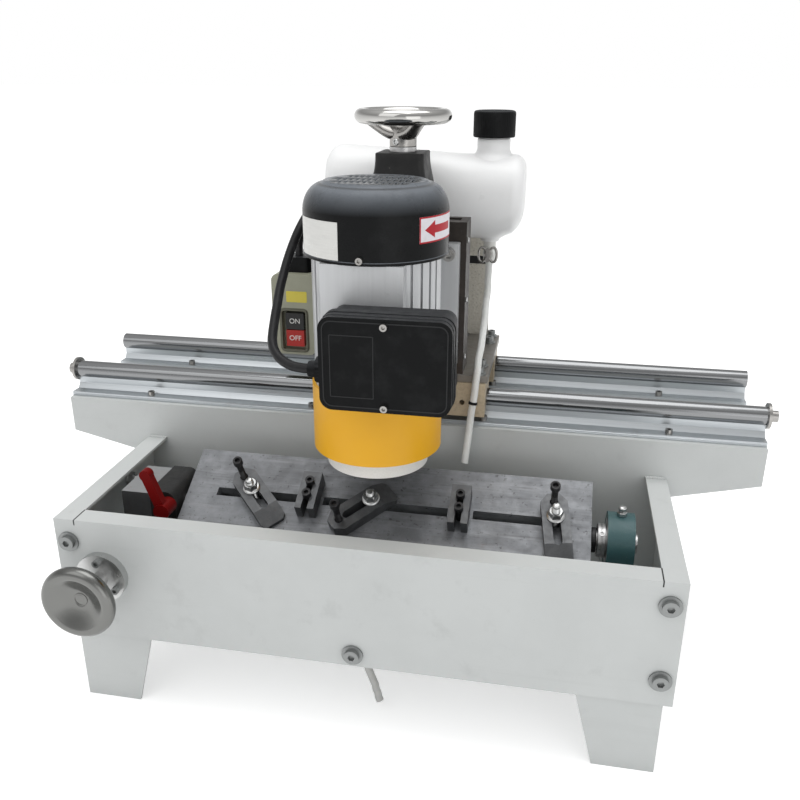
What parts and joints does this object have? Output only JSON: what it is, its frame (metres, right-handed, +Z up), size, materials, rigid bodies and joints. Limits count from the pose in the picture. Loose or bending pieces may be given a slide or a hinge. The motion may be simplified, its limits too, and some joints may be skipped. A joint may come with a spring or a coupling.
{
  "type": "planer knife grinder",
  "caption": "Bench grinder for straight planer knives: a motor head with cup wheel slides on rails above a tilting slotted table with clamps in a coolant tray.",
  "frame": {"origin": "under the middle of the machine's box, at floor level", "axes": "X along the rails to the right, Y from the front panel to the back, Z up"},
  "size_m": [0.822, 0.438, 0.5915],
  "materials": {
    "powder_coat": "light grey powder coat, fine texture",
    "zinc": "zinc plated fasteners",
    "rail_aluminium": "satin extruded aluminium",
    "rail_steel": "polished hardened steel rod",
    "table_steel": "dark ground iron",
    "bright_steel": "turned steel",
    "dark_steel": "dark oiled steel",
    "black_cast": "black paint on casting",
    "pillow_paint": "dark green-blue paint",
    "handwheel_chrome": "bright plating",
    "lever_red": "dark red plastic",
    "hammertone": "speckled hammer finish",
    "tank_plastic": "milky translucent plastic",
    "clear_hose": "soft whitish hose",
    "grey_hose": "grey hose",
    "black_plastic": "satin black plastic",
    "tap_plastic": "white plastic",
    "slide_brown": "blackish brown paint",
    "nut_brass": "turned brass",
    "motor_aluminium": "cast and extruded aluminium",
    "guard_yellow": "orange-yellow paint",
    "abrasive": "white vitrified abrasive",
    "switch_grey": "grey-beige plastic",
    "button_black": "black plastic",
    "button_red": "red plastic",
    "winding": "laminated iron and copper winding",
    "cord_black": "black cable sheath"
  },
  "bodies": {
    "frame": {"front_panel": "powder_coat", "left_side_panel": "powder_coat", "right_side_panel": "powder_coat", "tray_floor": "powder_coat", "rail_beam": "powder_coat", "legs": "powder_coat", "frame_bolts": "zinc", "rail_supports": "rail_aluminium", "rail_rods": "rail_steel", "rail_screws": "dark_steel", "pillow_block": "pillow_paint", "pillow_bearing": "bright_steel", "gear_block": "bright_steel", "clamp_housing": "black_cast", "handwheel_flange": "bright_steel", "drain_hose": "grey_hose"},
    "lever": {"lock_lever": "lever_red"},
    "tilt_wheel": {"front_handwheel": "handwheel_chrome", "worm_shaft": "bright_steel"},
    "table": {"table_plate": "table_steel", "table_shafts": "bright_steel", "stop_screws": "dark_steel"},
    "stop_1": {"stop_block_1": "bright_steel"},
    "stop_2": {"stop_block_2": "bright_steel"},
    "clamp_1": {"clamp_bar_1": "dark_steel", "clamp_screws_1": "zinc"},
    "clamp_2": {"clamp_bar_2": "dark_steel", "clamp_screws_2": "zinc"},
    "clamp_3": {"clamp_bar_3": "dark_steel", "clamp_screws_3": "zinc"},
    "carriage": {"carriage_plate": "dark_steel", "bearing_blocks": "rail_aluminium", "carriage_bolts": "zinc", "column": "black_cast", "tank_panel": "hammertone", "tank": "tank_plastic", "tap_body": "tap_plastic", "water_hose": "clear_hose"},
    "tap": {"tap_handle": "tap_plastic"},
    "cap": {"tank_cap": "black_plastic"},
    "feed": {"top_handwheel": "handwheel_chrome", "lead_screw": "bright_steel"},
    "head": {"slide_plate": "slide_brown", "feed_nut": "nut_brass", "motor_housing": "motor_aluminium", "end_shields": "motor_aluminium", "motor_bearings": "bright_steel", "stator": "winding", "fan_cover": "black_plastic", "terminal_box": "black_plastic", "terminal_cover": "black_plastic", "head_screws": "zinc", "cable_glands": "black_plastic", "motor_cable": "cord_black", "wheel_guard": "guard_yellow", "switch_box": "switch_grey"},
    "on": {"on_button": "button_black"},
    "off": {"off_button": "button_red"},
    "spindle": {"motor_shaft": "bright_steel", "grinding_wheel": "abrasive"}
  },
  "joints": [
    {"name": "carriage_slide", "type": "slide", "parent": "frame", "child": "carriage", "axis": [1, 0, 0], "range_m": [-0.29, 0.285]},
    {"name": "head_slide", "type": "slide", "parent": "carriage", "child": "head", "axis": [0, 0, 1], "range_m": [-0.015, 0.025]},
    {"name": "feed_turn", "type": "hinge", "parent": "carriage", "child": "feed", "pos_m": [0.005, 0.068, 0.56], "axis": [0, 0, 1], "range_deg": [-1100, 1820]},
    {"name": "spindle_turn", "type": "hinge", "parent": "head", "child": "spindle", "pos_m": [0.005, -0.06405, 0.3], "axis": [0, 0, 1], "continuous": true},
    {"name": "table_tilt", "type": "hinge", "parent": "frame", "child": "table", "pos_m": [0, -0.06, 0.189], "axis": [1, 0, 0], "range_deg": [-30, 30]},
    {"name": "tilt_turn", "type": "hinge", "parent": "frame", "child": "tilt_wheel", "pos_m": [-0.255, -0.164, 0.155], "axis": [0, 1, 0], "range_deg": [-725, 725]},
    {"name": "lever_turn", "type": "hinge", "parent": "frame", "child": "lever", "pos_m": [-0.2145, -0.104, 0.201], "axis": [0, 1, 0], "range_deg": [-20, 40]},
    {"name": "stop_1_slide", "type": "slide", "parent": "table", "child": "stop_1", "axis": [0, 0.866, 0.5], "range_m": [-0.004, 0.01]},
    {"name": "stop_2_slide", "type": "slide", "parent": "table", "child": "stop_2", "axis": [0, 0.866, 0.5], "range_m": [-0.004, 0.01]},
    {"name": "clamp_1_slide", "type": "slide", "parent": "table", "child": "clamp_1", "axis": [1, 0, 0], "range_m": [-0.025, 0.006]},
    {"name": "clamp_2_slide", "type": "slide", "parent": "table", "child": "clamp_2", "axis": [1, 0, 0], "range_m": [-0.012, 0.025]},
    {"name": "clamp_3_slide", "type": "slide", "parent": "table", "child": "clamp_3", "axis": [1, 0, 0], "range_m": [-0.04, 0.003]},
    {"name": "tap_turn", "type": "hinge", "parent": "carriage", "child": "tap", "pos_m": [0.091, 0.133, 0.433], "axis": [0, 1, 0], "range_deg": [0, 90]},
    {"name": "cap_lift", "type": "slide", "parent": "carriage", "child": "cap", "axis": [0, 0, 1], "range_m": [0, 0.04]},
    {"name": "on_press", "type": "slide", "parent": "head", "child": "on", "axis": [0, 1, 0], "range_m": [0, 0.003], "stiffness_N_per_m": 250},
    {"name": "off_press", "type": "slide", "parent": "head", "child": "off", "axis": [0, 1, 0], "range_m": [0, 0.003], "stiffness_N_per_m": 250}
  ],
  "couplings": [
    {"joint": "feed_turn", "follows": "head_slide", "rad_per_m": 1256.6},
    {"joint": "tilt_turn", "follows": "table_tilt", "ratio": 24}
  ]
}
